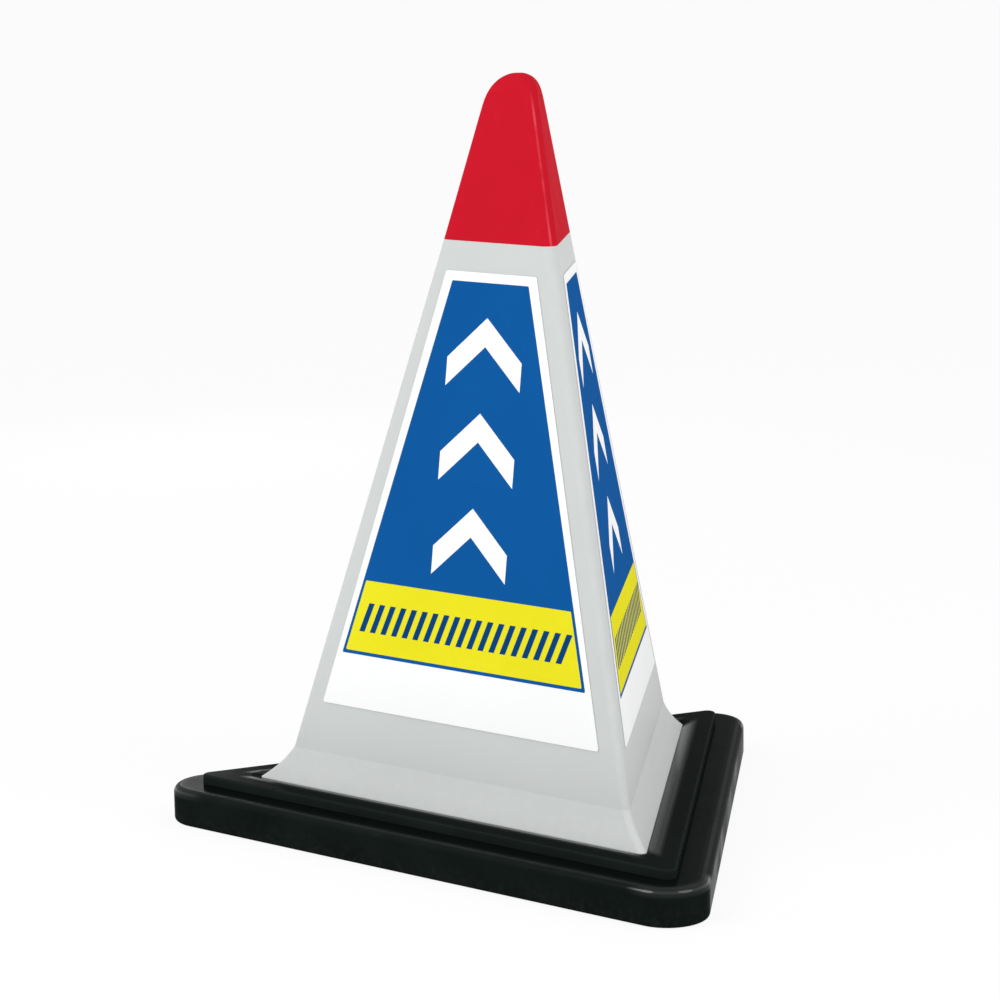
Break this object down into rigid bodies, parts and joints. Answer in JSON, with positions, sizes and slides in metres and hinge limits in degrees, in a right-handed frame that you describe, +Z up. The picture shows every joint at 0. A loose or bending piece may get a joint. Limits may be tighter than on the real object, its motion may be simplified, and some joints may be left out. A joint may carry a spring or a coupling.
{
  "type": "safety sign pyramid",
  "caption": "Triangular pyramid floor sign: hollow grey body with a sign sheet on each face and a domed red cap, clamped by a screwed frame to a weighted black base.",
  "frame": {"origin": "middle of the bounding rectangle of the base, on the floor; the pyramid's upright axis stands 75 mm in front of it, at -Y", "axes": "+Z up, -Y out of the front sign face, +X to the viewer's right"},
  "size_m": [0.5936, 0.524, 0.7],
  "materials": {
    "base_rubber": "moulded, satin black",
    "insert_brass": "turned",
    "frame_plastic": "moulded, glossy black",
    "fastener_steel": "black oxide",
    "body_plastic": "moulded, satin light grey",
    "cap_plastic": "moulded, satin red",
    "sheet_film": "printed film"
  },
  "bodies": {
    "body": {"base_slab": "base_rubber", "thread_inserts": "insert_brass", "retaining_frame": "frame_plastic", "frame_washers": "fastener_steel", "frame_screws": "fastener_steel", "body_shell": "body_plastic", "sign_sheet_front": "sheet_film", "sign_sheet_right": "sheet_film", "sign_sheet_left": "sheet_film"},
    "cap": {"cap": "cap_plastic"}
  },
  "joints": [
    {"name": "cap_lift", "type": "slide", "parent": "body", "child": "cap", "axis": [0, 0, 1], "range_m": [0, 0.045]}
  ]
}
